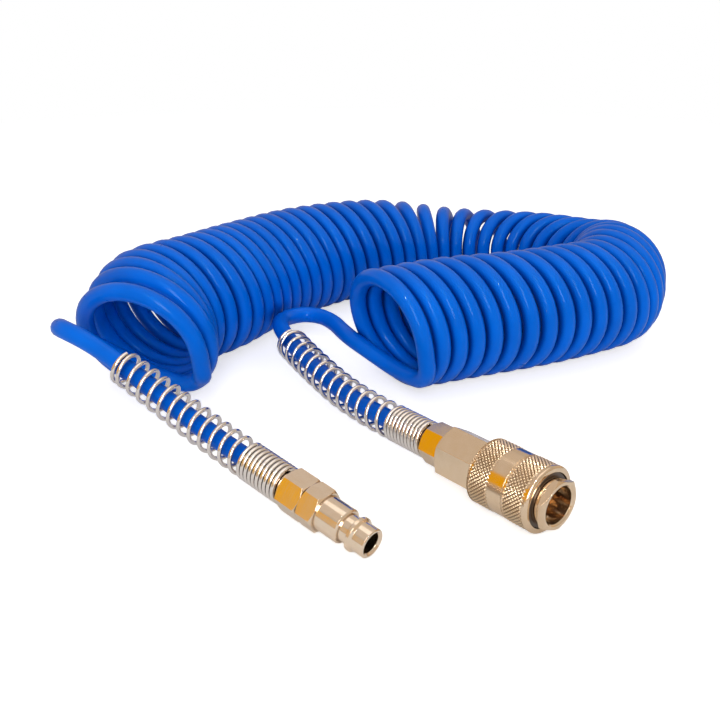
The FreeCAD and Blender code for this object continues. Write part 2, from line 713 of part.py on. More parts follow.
def coil_point(turns):
    """Centre of the hose after this count of turns; each turn's lowest point lies on the floor."""
    x, y, points_way, lean, radius = [station_value(column, turns) for column in range(1, 6)]
    way = math.radians(points_way)
    up = math.radians(lean)
    angle = math.radians(FIRST_TURN_ANGLE) + 2 * math.pi * turns
    axis = Vector(math.cos(way) * math.cos(up), math.sin(way) * math.cos(up), math.sin(up))
    across = Vector(-math.sin(way), math.cos(way), 0)
    rise = axis.cross(across)
    middle = Vector(x, y, size("hose_outer_diameter") / 2 + FLOOR_GAP + radius * math.cos(up)) + PLAN_TO_ROW
    return middle + (rise * math.sin(angle) - across * math.cos(angle)) * radius


def make_coil():
    """Four stretches that meet face to face, with a straight lead at each end of the coil."""
    lead = size("hose_outer_diameter")
    start = COIL_START
    length = 0
    for label, end in COIL_STRETCHES:
        edges = wound_edges(coil_point, start, end)
        if start == COIL_START:
            first = coil_point(start)
            edges.insert(0, Part.LineSegment(first - heading(coil_point, start) * lead, first).toShape())
        if label == COIL_STRETCHES[-1][0]:
            last = coil_point(end)
            edges.append(Part.LineSegment(last, last + heading(coil_point, end) * lead).toShape())
        length += hose_piece(label, edges)
        start = end
    least_gap("hose coil", coil_point, COIL_START, COIL_STRETCHES[-1][1], lead)
    return length


# Straight stretches where a tail leaves the coil and where it runs into its nut
FIRST_RUN = 3.7
LAST_RUN = 17.0


def tail_route(coil_end, away, points, place, nut_start):
    """Route from the coil's straight lead to the rear of a nut, ending along the fitting's axis."""
    neck_end = nut_start + cell("nut_hex_length") + cell("nut_neck_length")
    exit_point = place.multVec(Vector(neck_end.value, 0, 0))
    turn_in = place.multVec(Vector(neck_end.value + LAST_RUN, 0, 0))
    lead_end = coil_end + away * size("hose_outer_diameter")
    bends = [point + PLAN_TO_ROW for point in points]
    return [lead_end, lead_end + away * FIRST_RUN] + bends + [turn_in, exit_point]


coil_last = COIL_STRETCHES[-1][1]
COUPLER_TAIL_POINTS = [
    Vector(-20.8, 74.3, 14.5), Vector(-23.4, 74.8, 11.9), Vector(-26.9, 75.4, 10.2),
    Vector(-33.2, 76.4, 9.4), Vector(-40, 77.1, 9), Vector(-47.4, 77.2, 9.8), Vector(-54.5, 75.8, 12.2),
    Vector(-61, 73.7, 15.2), Vector(-69, 72.2, 17.8), Vector(-79.5, 74.8, 18.2),
    Vector(-91.5, 79.6, 17.8), Vector(-103, 80.8, 17.8), Vector(-111.5, 75.6, 18.2),
    Vector(-113, 65.8, 19.6), Vector(-108, 57.4, 20.4), Vector(-99, 51.8, 20), Vector(-86, 46.6, 19.4),
    Vector(-70, 42, 18.4), Vector(-52, 38.6, 16.4), Vector(-33, 36, 14)]
PLUG_TAIL_POINTS = [
    Vector(-87.4, -1.2, 13.6), Vector(-91.6, -3.4, 10), Vector(-96.4, -6.3, 8.8),
    Vector(-101, -10.4, 10.6), Vector(-106, -16.8, 14.4), Vector(-109.6, -24.4, 20.4),
    Vector(-112, -33, 27.6), Vector(-114, -41.6, 34), Vector(-115, -49, 40),
    Vector(-112.7, -52.9, 43.4), Vector(-108.1, -55.2, 45.4), Vector(-101.8, -55, 45.8),
    Vector(-93.2, -51.4, 43.4), Vector(-84, -48.2, 40.2), Vector(-73, -45, 36.2),
    Vector(-57.6, -40.6, 29.8), Vector(-41, -36.6, 23.4)]
coupler_route = tail_route(coil_point(COIL_START), heading(coil_point, COIL_START) * -1,
                           COUPLER_TAIL_POINTS, coupler_place, adapter_hex_end)
plug_route = tail_route(coil_point(coil_last), heading(coil_point, coil_last),
                        PLUG_TAIL_POINTS, plug_place, plug_hex_end)


def make_tail(label, route, place, nut_start):
    """Free hose from the coil to the nut and the end that is clamped in the nut."""
    hose_end = nut_start + cell("stub_length") + cell("hose_end_gap")
    edges = route_edges(label, route)
    edges.append(Part.LineSegment(route[-1], place.multVec(Vector(hose_end.value, 0, 0))).toShape())
    return hose_piece(label, edges)


# Step between the points read from a guard's axis
GUIDE_STEP = 0.25


def make_guard(label, route, place, nut_start, open_turns, reach):
    """Wire spring: closed turns on the nut's neck, open turns along the hose, one closed end turn."""
    wire = size("wire_diameter")
    closed = size("closed_turns")
    pitch = size("closed_pitch")
    neck_start = nut_start + cell("nut_hex_length")
    neck_length = size("nut_neck_length")
    radius = size("nut_neck_diameter") / 2 + size("guard_neck_clearance") + wire / 2
    backwards = list(reversed(route))
    on_neck = Part.LineSegment(place.multVec(Vector(neck_start.value, 0, 0)), backwards[0]).toShape()
    line = Part.Wire([on_neck] + route_edges(label, backwards))
    samples = line.discretize(Distance=GUIDE_STEP)
    step = line.Length / (len(samples) - 1)
    closed_end = neck_length + wire / 2

    def guide(distance):
        """Point on the guard's axis and the direction there."""
        index = max(1, min(len(samples) - 2, round(distance / step)))
        direction = (samples[index + 1] - samples[index - 1]).normalize()
        return samples[index] + direction * (distance - index * step), direction

    def wire_point(turns):
        if turns < closed:
            distance = wire / 2 + (closed_end - wire / 2) * turns / closed
        elif turns < closed + open_turns - 1:
            distance = closed_end + (reach - pitch) * (turns - closed) / (open_turns - 1)
        else:
            distance = closed_end + reach - pitch * (closed + open_turns - turns)
        middle, direction = guide(distance)
        up = (Vector(0, 0, 1) - direction * direction.z).normalize()
        angle = 2 * math.pi * turns
        return middle + (up * math.cos(angle) + direction.cross(up) * math.sin(angle)) * radius
    edges = wound_edges(wire_point, SMALL_TURN, closed + open_turns - SMALL_TURN)
    shown(label, swept(edges, wire))
    least_gap(label, wire_point, 0, closed + open_turns, wire)


# The whole object

make_plug()
spring_nut("plug_spring_nut", plug_place, plug_hex_end)
spring_nut("coupler_spring_nut", coupler_place, adapter_hex_end)
make_adapter()
make_coupler_body()
make_sleeve()
make_retaining_ring()
make_valve()
make_socket_seal()
make_balls()
ring("sleeve_return_spring", coupler_place, land_end + cell("spring_end_gap"),
     collar_start - cell("spring_end_gap"), half("barrel_diameter") + cell("spring_clearance"),
     skirt - cell("spring_clearance"))
hose_length = make_coil()
hose_length += make_tail("hose_tail_coupler_side", coupler_route, coupler_place, adapter_hex_end)
hose_length += make_tail("hose_tail_plug_side", plug_route, plug_place, plug_hex_end)
make_guard("coupler_spring_guard", coupler_route, coupler_place, adapter_hex_end,
           size("coupler_guard_turns"), size("coupler_guard_reach"))
make_guard("plug_spring_guard", plug_route, plug_place, plug_hex_end,
           size("plug_guard_turns"), size("plug_guard_reach"))
print("hose %.0f mm long in all" % hose_length)
doc.recompute()

# Every piece is checked before any is written
PIECE_TYPES = ("PartDesign::Body", "Part::Torus", "Part::Sphere", "Part::Feature")
for item in doc.Objects:
    if "Invalid" in item.State or "Error" in item.State:
        raise RuntimeError(item.Label + " failed")
pieces = [item for item in doc.Objects if item.TypeId in PIECE_TYPES]
for item in pieces:
    if item.Shape.isNull() or not item.Shape.isValid():
        raise RuntimeError(item.Label + " has no valid shape")
os.makedirs("parts", exist_ok=True)
for item in pieces:
    item.Shape.exportStep("parts/" + item.Label + ".step")
print(len(pieces), "pieces written")
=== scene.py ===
"""Coiled air hose with quick-connect fittings: the looks, in metres and in the row's frame."""
import math
import bpy
from mathutils import Matrix, Vector


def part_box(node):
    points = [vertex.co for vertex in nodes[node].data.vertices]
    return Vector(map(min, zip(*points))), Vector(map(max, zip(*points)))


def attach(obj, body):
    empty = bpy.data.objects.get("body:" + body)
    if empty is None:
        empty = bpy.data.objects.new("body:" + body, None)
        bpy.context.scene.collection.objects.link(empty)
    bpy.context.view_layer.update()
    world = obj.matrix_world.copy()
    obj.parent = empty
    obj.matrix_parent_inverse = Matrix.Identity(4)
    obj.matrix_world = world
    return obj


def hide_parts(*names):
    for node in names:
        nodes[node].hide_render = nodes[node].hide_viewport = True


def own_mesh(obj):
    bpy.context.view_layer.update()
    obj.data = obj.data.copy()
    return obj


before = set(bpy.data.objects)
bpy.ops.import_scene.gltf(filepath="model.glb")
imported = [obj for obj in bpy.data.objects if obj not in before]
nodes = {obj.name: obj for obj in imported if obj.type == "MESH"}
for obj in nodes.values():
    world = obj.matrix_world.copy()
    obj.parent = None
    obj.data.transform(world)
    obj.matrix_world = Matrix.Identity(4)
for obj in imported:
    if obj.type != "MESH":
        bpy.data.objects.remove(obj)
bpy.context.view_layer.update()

MM = 0.001
FULL_TURN = 2 * math.pi


def pointing(yaw, rise):
    """Unit vector that points this way over the floor and this far above it, both in radians."""
    return Vector((math.cos(yaw) * math.cos(rise), math.sin(yaw) * math.cos(rise), math.sin(rise)))


# Sizes shared with the solids, and the step that puts the row's origin under the fittings
HOSE_DIAMETER = 8 * MM
FLOOR_GAP = 0.05 * MM
PLAN_TO_ROW = Vector((-0.92, 0.04, 0)) * MM
COUPLER_MOUTH = Vector((0.0854, 0.0350, 0.0130)) + PLAN_TO_ROW
COUPLER_BACK = Vector((-1, 0, 0))
PLUG_NOSE = Vector((0.0517, -0.0223, 0.0056)) + PLAN_TO_ROW
PLUG_BACK = pointing(math.radians(188), math.radians(9.5))

# Distances from the coupler's mouth and the plug's nose to where the hose ends and leaves its nut
COUPLER_HOSE_END = 58.6 * MM
COUPLER_NECK_END = 82.3 * MM
PLUG_HOSE_END = 35.8 * MM
PLUG_NECK_END = 59.5 * MM

# Straight starts of the tails, at the nuts and at the coil
LAST_RUN = 17 * MM
FIRST_RUN = 3.7 * MM


# Hose route

# Count of turns from the coupler's end, then the coil's middle on the floor plan, the way its axis
# points and leans in degrees, and the turns' radius
STATIONS = [
    (0, -0.0462, 0.0704, 87.1, 12, 0.0260),
    (4.31, -0.0346, 0.1056, 89, 10, 0.0265),
    (8.25, -0.0222, 0.1419, 89.5, 9, 0.0258),
    (12.08, -0.0139, 0.1774, 90.5, 11, 0.0255),
    (14, -0.0130, 0.1957, 90, 11, 0.0250),
    (15.99, -0.0208, 0.2135, 93, 9.4, 0.0253),
    (18.04, -0.0357, 0.2332, 106.2, 2.8, 0.0232),
    (19.57, -0.0587, 0.2426, 127.1, -7.3, 0.0203),
    (22.87, -0.0997, 0.2449, 163.1, -9, 0.0179),
    (26.97, -0.1391, 0.2166, 218.3, -6.6, 0.0178),
    (31, -0.1525, 0.1693, 259, -13, 0.0238),
    (36, -0.1565, 0.1187, 270, -16, 0.0263),
    (40.7, -0.1512, 0.0763, 276.5, -16, 0.0270),
    (45.1, -0.1378, 0.0364, 284, -13.5, 0.0282),
    (48.35, -0.1299, 0.0050, 289.3, -12.6, 0.0287),
    (51.03, -0.1068, -0.0155, 301.4, -18.1, 0.0291),
    (52.25, -0.0946, -0.0313, 310.8, -18.4, 0.0265),
]
FIRST_TURN_ANGLE = math.radians(-100)
COIL_START = 0.28
COIL_END = 51.78
POINTS_PER_TURN = 16
TANGENT_STEP = 1 / (4 * POINTS_PER_TURN)

# The two tails, each from the coil to its nut, on the floor plan and above the floor
COUPLER_TAIL_POINTS = [
    (-0.0208, 0.0743, 0.0145), (-0.0234, 0.0748, 0.0119), (-0.0269, 0.0754, 0.0102),
    (-0.0332, 0.0764, 0.0094), (-0.0400, 0.0771, 0.0090), (-0.0474, 0.0772, 0.0098),
    (-0.0545, 0.0758, 0.0122), (-0.0610, 0.0737, 0.0152), (-0.0690, 0.0722, 0.0178),
    (-0.0795, 0.0748, 0.0182), (-0.0915, 0.0796, 0.0178), (-0.1030, 0.0808, 0.0178),
    (-0.1110, 0.0756, 0.0180), (-0.1120, 0.0658, 0.0184), (-0.1075, 0.0574, 0.0194),
    (-0.0990, 0.0518, 0.0200), (-0.0860, 0.0466, 0.0194), (-0.0700, 0.0420, 0.0184),
    (-0.0520, 0.0386, 0.0164), (-0.0330, 0.0360, 0.0140)]
PLUG_TAIL_POINTS = [
    (-0.0874, -0.0012, 0.0136), (-0.0916, -0.0034, 0.0100), (-0.0964, -0.0063, 0.0088),
    (-0.1010, -0.0104, 0.0106), (-0.1060, -0.0168, 0.0144), (-0.1096, -0.0244, 0.0204),
    (-0.1120, -0.0330, 0.0276), (-0.1140, -0.0416, 0.0340), (-0.1150, -0.0490, 0.0400),
    (-0.1127, -0.0529, 0.0434), (-0.1081, -0.0552, 0.0454), (-0.1018, -0.0550, 0.0458),
    (-0.0932, -0.0514, 0.0434), (-0.0840, -0.0482, 0.0402), (-0.0730, -0.0450, 0.0362),
    (-0.0576, -0.0406, 0.0298), (-0.0410, -0.0366, 0.0234)]


def station_value(column, turns):
    """Value of a station column at this count of turns, on a smooth cubic."""
    last = len(STATIONS) - 1
    index = max(place for place in range(last) if STATIONS[place][0] <= turns or place == 0)

    def slope(place):
        low = STATIONS[max(place - 1, 0)]
        high = STATIONS[min(place + 1, last)]
        return (high[column] - low[column]) / (high[0] - low[0])

    span = STATIONS[index + 1][0] - STATIONS[index][0]
    share = (turns - STATIONS[index][0]) / span
    rest = 1 - share
    return (STATIONS[index][column] * (1 + 2 * share) * rest ** 2
            + STATIONS[index + 1][column] * share ** 2 * (3 - 2 * share)
            + span * share * rest * (slope(index) * rest - slope(index + 1) * share))


def coil_point(turns, spread=1.0):
    """Centre of the hose after this count of turns; spread moves it away from the coil's axis."""
    x, y, points_way, leans, radius = [
        station_value(column, turns) for column in range(1, len(STATIONS[0]))]
    way = math.radians(points_way)
    lean = math.radians(leans)
    angle = FIRST_TURN_ANGLE + FULL_TURN * turns
    across = Vector((-math.sin(way), math.cos(way), 0))
    rise = pointing(way, lean).cross(across)
    height = HOSE_DIAMETER / 2 + FLOOR_GAP + radius * math.cos(lean)
    middle = Vector((x, y, height)) + PLAN_TO_ROW
    return middle + (rise * math.sin(angle) - across * math.cos(angle)) * radius * spread


def hose_route():
    """Control points of the hose from its end in the coupler's nut to its end in the plug's nut."""
    # A quadratic spline runs inside its control points, so those of the turns stand out a little
    spread = 2 / (1 + math.cos(math.pi / POINTS_PER_TURN) ** 2)
    steps = round((COIL_END - COIL_START) * POINTS_PER_TURN)
    turn_at = [COIL_START + (COIL_END - COIL_START) * index / steps for index in range(steps + 1)]
    to_coupler = (coil_point(COIL_START) - coil_point(COIL_START + TANGENT_STEP)).normalized()
    to_plug = (coil_point(COIL_END) - coil_point(COIL_END - TANGENT_STEP)).normalized()
    first = coil_point(COIL_START) + to_coupler * HOSE_DIAMETER
    last = coil_point(COIL_END) + to_plug * HOSE_DIAMETER
    in_coupler = (COUPLER_HOSE_END, COUPLER_NECK_END, COUPLER_NECK_END + LAST_RUN)
    in_plug = (PLUG_NECK_END + LAST_RUN, PLUG_NECK_END, PLUG_HOSE_END)
    return [
        *[COUPLER_MOUTH + COUPLER_BACK * back for back in in_coupler],
        *[Vector(point) + PLAN_TO_ROW for point in reversed(COUPLER_TAIL_POINTS)],
        first + to_coupler * FIRST_RUN,
        first,
        *[coil_point(turns, spread) for turns in turn_at],
        last,
        last + to_plug * FIRST_RUN,
        *[Vector(point) + PLAN_TO_ROW for point in PLUG_TAIL_POINTS],
        *[PLUG_NOSE + PLUG_BACK * back for back in in_plug]]


# Nodes shared by the materials and the shapes

def set_inputs(tree, node, inputs):
    """Links each input that is given a socket and sets each that is given a value.

    An input goes by its label, with _ for a space, or by its number as i0, i1 and so on.
    """
    for label, value in inputs.items():
        numbered = label[0] == "i" and label[1:].isdigit()
        key = int(label[1:]) if numbered else label.replace("_", " ")
        if isinstance(value, bpy.types.NodeSocket):
            tree.links.new(value, node.inputs[key])
        else:
            node.inputs[key].default_value = value


def add_node(tree, kind, settings=(), **inputs):
    """Node of this kind with these settings of its own and these inputs."""
    node = tree.nodes.new(kind)
    for setting, value in dict(settings).items():
        setattr(node, setting, value)
    set_inputs(tree, node, inputs)
    return node


def number_of(tree, operation, first, second=None):
    """Result of this operation on one or two numbers."""
    operands = {"i0": first} if second is None else {"i0": first, "i1": second}
    return add_node(tree, "ShaderNodeMath", {"operation": operation}, **operands).outputs[0]


def vector_of(tree, operation, first, second=None):
    """Result of this operation on vectors: a number for a dot product or a length."""
    operands = {"i0": first}
    if second is not None:
        operands["Scale" if operation == "SCALE" else "i1"] = second
    node = add_node(tree, "ShaderNodeVectorMath", {"operation": operation}, **operands)
    return node.outputs["Value" if operation in ("DOT_PRODUCT", "LENGTH") else "Vector"]


def remapped(tree, value, span=(0.0, 1.0), to_span=(0.0, 1.0)):
    """Value carried from one span over to another, and held at its ends."""
    return add_node(
        tree, "ShaderNodeMapRange", Value=value, From_Min=span[0], From_Max=span[1],
        To_Min=to_span[0], To_Max=to_span[1]).outputs[0]


def mixed_colour(tree, share, first, second):
    """Colour between two, each a socket or (red, green, blue)."""
    ends = [end if isinstance(end, bpy.types.NodeSocket) else (*end, 1) for end in (first, second)]
    mix = add_node(tree, "ShaderNodeMix", {"data_type": "RGBA"}, i0=share, i6=ends[0], i7=ends[1])
    return mix.outputs[2]


# Materials

NICKEL = (0.87, 0.71, 0.54)
WORN_NICKEL = (0.80, 0.61, 0.41)
KNURL_NICKEL = (0.92, 0.74, 0.53)
PLUG_NICKEL = (0.93, 0.81, 0.69)
WORN_PLUG_NICKEL = (0.87, 0.70, 0.52)
# The three crevice colours are painted shade: the dark put into the metals' crevices, knurl grooves and
# between close wire turns
NICKEL_PAINTED_SHADE = (0.10, 0.05, 0.02)
KNURL_PAINTED_SHADE = (0.12, 0.06, 0.02)
WIRE = (0.88, 0.86, 0.85)
WORN_WIRE = (0.83, 0.77, 0.72)
WIRE_PAINTED_SHADE = (0.14, 0.09, 0.06)
BALL_STEEL = (0.80, 0.80, 0.80)
WORN_BALL_STEEL = (0.72, 0.71, 0.70)
RING_STEEL = (0.12, 0.11, 0.11)
WORN_RING_STEEL = (0.17, 0.14, 0.12)
# The first blue is painted shade between the hose's turns; the next two are the plastic's own uneven
# tone
TURN_SHADE_BLUE = (0.0, 0.045, 0.36)
LOW_BLUE = (0.0, 0.110, 0.62)
HIGH_BLUE = (0.0, 0.168, 0.90)
BLUE_SHEEN = (0.05, 0.50, 1.0)
RUBBER_BLACK = (0.02, 0.02, 0.02)
WHITE = (1, 1, 1)

# How far a surface looks round for others that shade it, and the shares of open space between
# which the painted shade, colour darkened in crevices and between the hose's turns, goes from full to
# none
SHADE_SAMPLES = 8
PAINTED_SHADE_REACH = 1.2 * MM
PAINTED_SHADE_SPAN = (0.25, 0.75)
KNURL_PAINTED_SHADE_SPAN = (0.64, 0.93)
TURN_SHADE_REACH = 6 * MM
TURN_SHADE_SPAN = (0.35, 0.85)
OPEN_COAT_SPAN = (0.6, 0.9)
OPEN_COAT_WEIGHT = 0.16

# Marks on the metal, and the shares of its roughness where it is least and most worn
RINGS_PER_METRE = 3000
RING_DETAIL = 2.0
RING_HEIGHT = 0.05 * MM
WEAR_SCALE = 260.0
WEAR_DETAIL = 3.0
WEAR_SPAN = (0.3, 0.7)
LEAST_WORN_ROUGHNESS = 0.8
MOST_WORN_ROUGHNESS = 1.3
EDGE_RADIUS = 0.2 * MM

# Clouds in the hose's plastic, waves from the extruder, and the grain of the rubber
CLOUD_SCALE = 45.0
CLOUD_DETAIL = 3.0
WAVE_SCALE = 190.0
WAVE_DETAIL = 2.0
WAVE_HEIGHT = 0.3 * MM
WAVE_STRENGTH = 0.1
HOSE_ROUGHNESS = (0.24, 0.36)
GRAIN_SCALE = 900.0
GRAIN_DETAIL = 2.0
RUBBER_ROUGHNESS = (0.45, 0.65)


def new_material(name, **sockets):
    """Principled material with these constants on its own sockets."""
    material = bpy.data.materials.new(name)
    material.use_nodes = True
    tree = material.node_tree
    shader = tree.nodes["Principled BSDF"]
    set_inputs(tree, shader, sockets)
    return material, tree, shader


def object_place(tree):
    return add_node(tree, "ShaderNodeTexCoord").outputs["Object"]


def noise(tree, place, scale, detail):
    return add_node(tree, "ShaderNodeTexNoise", Vector=place, Scale=scale, Detail=detail).outputs["Fac"]


def open_space(tree, reach):
    """Share of open space round a point: low between turns and in crevices."""
    look = add_node(tree, "ShaderNodeAmbientOcclusion", {"samples": SHADE_SAMPLES}, Distance=reach)
    return look.outputs["AO"]


def turning_marks_group():
    """Fine rings round an axis, as a lathe leaves them, and soft blotches of handling."""
    group = bpy.data.node_groups.new("turning marks", "ShaderNodeTree")
    for label, kind, default in (
            ("Axis", "NodeSocketVector", (1, 0, 0)),
            ("Rings per metre", "NodeSocketFloat", RINGS_PER_METRE)):
        socket = group.interface.new_socket(label, in_out="INPUT", socket_type=kind)
        socket.default_value = default
    for label in ("Height", "Wear"):
        group.interface.new_socket(label, in_out="OUTPUT", socket_type="NodeSocketFloat")
    given = add_node(group, "NodeGroupInput").outputs
    place = object_place(group)
    rings = add_node(
        group, "ShaderNodeTexNoise", {"noise_dimensions": "1D"},
        W=vector_of(group, "DOT_PRODUCT", place, given["Axis"]), Scale=given["Rings per metre"],
        Detail=RING_DETAIL)
    add_node(
        group, "NodeGroupOutput", Height=rings.outputs["Fac"],
        Wear=noise(group, place, WEAR_SCALE, WEAR_DETAIL))
    return group


TURNING_MARKS = turning_marks_group()


def plated_metal(name, axis, colour, worn_colour, roughness, mark_depth,
                 painted_shade=NICKEL_PAINTED_SHADE, painted_shade_span=PAINTED_SHADE_SPAN):
    """Bright plating on turned metal: fine rings, another tone where it has worn, and painted shade
    that darkens its crevices.
    """
    material, tree, shader = new_material(name, Metallic=1.0)
    marks = add_node(tree, "ShaderNodeGroup", {"node_tree": TURNING_MARKS}, Axis=axis).outputs
    shade = mixed_colour(tree, marks["Wear"], colour, worn_colour)
    # Painted shade: the colour goes to the crevice colour where little open space lies round a point
    unshaded = remapped(tree, open_space(tree, PAINTED_SHADE_REACH), painted_shade_span)
    edge = add_node(tree, "ShaderNodeBevel", Radius=EDGE_RADIUS)
    bump = add_node(
        tree, "ShaderNodeBump", Strength=mark_depth, Distance=RING_HEIGHT, Height=marks["Height"],
        Normal=edge.outputs["Normal"])
    set_inputs(tree, shader, {
        "Base Color": mixed_colour(tree, unshaded, painted_shade, shade),
        "Roughness": remapped(tree, marks["Wear"], WEAR_SPAN, (
            roughness * LEAST_WORN_ROUGHNESS, roughness * MOST_WORN_ROUGHNESS)),
        "Normal": bump.outputs["Normal"]})
    return material


def hose_plastic():
    """Glossy blue polyurethane: slightly cloudy, faintly waved, with painted shade that darkens it
    between the turns.
    """
    material, tree, shader = new_material(
        "blue_polyurethane", Specular_IOR_Level=0.15, Specular_Tint=(*BLUE_SHEEN, 1),
        Coat_Roughness=0.05)
    place = object_place(tree)
    tint = mixed_colour(tree, noise(tree, place, CLOUD_SCALE, CLOUD_DETAIL), LOW_BLUE, HIGH_BLUE)
    # Painted shade: the blue darkens where the turns lie close and shade each other
    space = open_space(tree, TURN_SHADE_REACH)
    waves = noise(tree, place, WAVE_SCALE, WAVE_DETAIL)
    bump = add_node(
        tree, "ShaderNodeBump", Strength=WAVE_STRENGTH, Distance=WAVE_HEIGHT, Height=waves)
    set_inputs(tree, shader, {
        "Base Color": mixed_colour(tree, remapped(tree, space, TURN_SHADE_SPAN), TURN_SHADE_BLUE, tint),
        "Coat Weight": remapped(tree, space, OPEN_COAT_SPAN, (0.0, OPEN_COAT_WEIGHT)),
        "Roughness": remapped(tree, waves, to_span=HOSE_ROUGHNESS),
        "Normal": bump.outputs["Normal"]})
    return material


def seal_rubber():
    """Black rubber with a fine, uneven gloss."""
    material, tree, shader = new_material("seal_rubber", Base_Color=(*RUBBER_BLACK, 1))
    grain = noise(tree, object_place(tree), GRAIN_SCALE, GRAIN_DETAIL)
    set_inputs(tree, shader, {"Roughness": remapped(tree, grain, to_span=RUBBER_ROUGHNESS)})
    return material


coupler_metal = plated_metal(
    "coupler_nickel", COUPLER_BACK, NICKEL, WORN_NICKEL, roughness=0.16, mark_depth=0.25)
knurl_metal = plated_metal(
    "knurled_nickel", COUPLER_BACK, KNURL_NICKEL, WORN_NICKEL, roughness=0.34, mark_depth=0.1,
    painted_shade=KNURL_PAINTED_SHADE, painted_shade_span=KNURL_PAINTED_SHADE_SPAN)
plug_metal = plated_metal(
    "plug_nickel", PLUG_BACK, PLUG_NICKEL, WORN_PLUG_NICKEL, roughness=0.12, mark_depth=0.25)
coupler_wire = plated_metal(
    "coupler_guard_wire", COUPLER_BACK, WIRE, WORN_WIRE, roughness=0.11, mark_depth=0.1,
    painted_shade=WIRE_PAINTED_SHADE)
plug_wire = plated_metal(
    "plug_guard_wire", PLUG_BACK, WIRE, WORN_WIRE, roughness=0.11, mark_depth=0.1,
    painted_shade=WIRE_PAINTED_SHADE)
ball_steel = plated_metal(
    "ball_steel", COUPLER_BACK, BALL_STEEL, WORN_BALL_STEEL, roughness=0.1, mark_depth=0.02)
ring_steel = plated_metal(
    "dark_ring_steel", COUPLER_BACK, RING_STEEL, WORN_RING_STEEL, roughness=0.35, mark_depth=0.1)
rubber = seal_rubber()
blue = hose_plastic()

# Finishes of the solids that stay as they are
NODE_FINISHES = [
    (coupler_metal, ["coupler_body", "coupler_adapter", "coupler_spring_nut", "valve_poppet"]),
    (plug_metal, ["plug_body", "plug_spring_nut"]),
    (ball_steel, ["locking_ball_1", "locking_ball_2", "locking_ball_3", "locking_ball_4"]),
    (ring_steel, ["sleeve_retaining_ring"]),
    (rubber, ["adapter_seal", "socket_seal", "valve_seal"]),
]
for finish, names in NODE_FINISHES:
    for name in names:
        nodes[name].data.materials.clear()
        nodes[name].data.materials.append(finish)


# Pieces

def new_object(name, data):
    thing = bpy.data.objects.new(name, data)
    bpy.context.scene.collection.objects.link(thing)
    return thing


def stands_for(piece, body, slot, *replaced):
    """Puts a piece in the place of these nodes and on this body; its material slot is not used."""
    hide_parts(*replaced)
    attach(piece, body)


def line_curve(name, points, kind):
    """Curve of one open spline of this kind through or along these points."""
    curve = bpy.data.curves.new(name, "CURVE")
    curve.dimensions = "3D"
    spline = curve.splines.new(kind)
    spline.points.add(len(points) - 1)
    for point, place in zip(spline.points, points):
        point.co = (*place, 1)
    return curve


# Hose

# Nodes that make up the tube in the solids
HOSE_NODES = [
    "hose_coil_front_leg", "hose_coil_bend", "hose_coil_back_run", "hose_coil_left_leg",
    "hose_tail_coupler_side", "hose_tail_plug_side"]
HOSE_SECTION_DETAIL = 5
HOSE_LINE_DETAIL = 3


def make_hose():
    curve = line_curve("hose", hose_route(), "NURBS")
    curve.bevel_depth = HOSE_DIAMETER / 2
    curve.bevel_resolution = HOSE_SECTION_DETAIL
    curve.resolution_u = HOSE_LINE_DETAIL
    curve.splines[0].order_u = 3
    curve.splines[0].use_endpoint_u = True
    curve.materials.append(blue)
    return new_object("hose", curve)


hose = make_hose()
stands_for(hose, "hose_and_fittings", "blue_hose", *HOSE_NODES)


# Geometry node trees, for what is wound and what repeats

def new_geometry_tree(name, sizes):
    """Tree from a shape to a shape with these named sizes; gives it and its own inputs."""
    tree = bpy.data.node_groups.new(name, "GeometryNodeTree")
    tree.interface.new_socket("Geometry", in_out="INPUT", socket_type="NodeSocketGeometry")
    for label, value in sizes.items():
        kind = "NodeSocketInt" if isinstance(value, int) else "NodeSocketFloat"
        socket = tree.interface.new_socket(label, in_out="INPUT", socket_type=kind)
        socket.default_value = value
    tree.interface.new_socket("Geometry", in_out="OUTPUT", socket_type="NodeSocketGeometry")
    return tree, add_node(tree, "NodeGroupInput").outputs


def finish_tree(tree, shape, material):
    plain = add_node(tree, "GeometryNodeRealizeInstances", Geometry=shape)
    painted = add_node(
        tree, "GeometryNodeSetMaterial", Geometry=plain.outputs[0], Material=material)
    add_node(tree, "NodeGroupOutput", Geometry=painted.outputs[0])


def made_by(tree, source, name, sizes):
    """Plain mesh object that the tree makes from the source object with these sizes."""
    modifier = source.modifiers.new("tree", "NODES")
    modifier.node_group = tree
    for item in tree.interface.items_tree:
        if item.in_out == "INPUT" and item.name in sizes:
            modifier[item.identifier] = sizes[item.name]
    bpy.context.view_layer.update()
    evaluated = source.evaluated_get(bpy.context.evaluated_depsgraph_get())
    mesh = bpy.data.meshes.new_from_object(evaluated)
    mesh.name = name
    bpy.data.objects.remove(source)
    return new_object(name, mesh)


# Spring guards

GUARD_WIRE = 1.8 * MM
GUARD_RADIUS = 6.75 * MM
# Along the hose from its end in the nut: where the closed turns start, and their length
GUARD_START = 4.0 * MM
CLOSED_LENGTH = 19.7 * MM
CLOSED_TURNS = 10
CLOSED_PITCH = 1.95 * MM
# Turns after the closed ones, and how far these reach
COUPLER_GUARD_TURNS = 14
COUPLER_GUARD_REACH = 85 * MM
PLUG_GUARD_TURNS = 13
PLUG_GUARD_REACH = 71 * MM
WIRE_SIDES = 10
WIRE_STEP = 0.08 * MM
UPRIGHT = (0, 0, 1)
# So many points of the hose's line reach well past a guard
AXIS_POINTS = 700


def turns_so_far(tree, sizes):
    """Turns wound up to each point of the path: the closed ones, the open ones and the last."""
    run = add_node(tree, "GeometryNodeSplineParameter").outputs["Length"]
    distance = number_of(tree, "ADD", run, sizes["Closed start"])
    turns = 0.0
    for start, end, count in (
            ("Closed start", "Closed end", sizes["Closed turns"]),
            ("Closed end", "Open end", sizes["Open turns"]),
            ("Open end", "Last end", 1.0)):
        stretch = remapped(tree, distance, (sizes[start], sizes[end]), (0.0, count))
        turns = number_of(tree, "ADD", turns, stretch)
    return turns


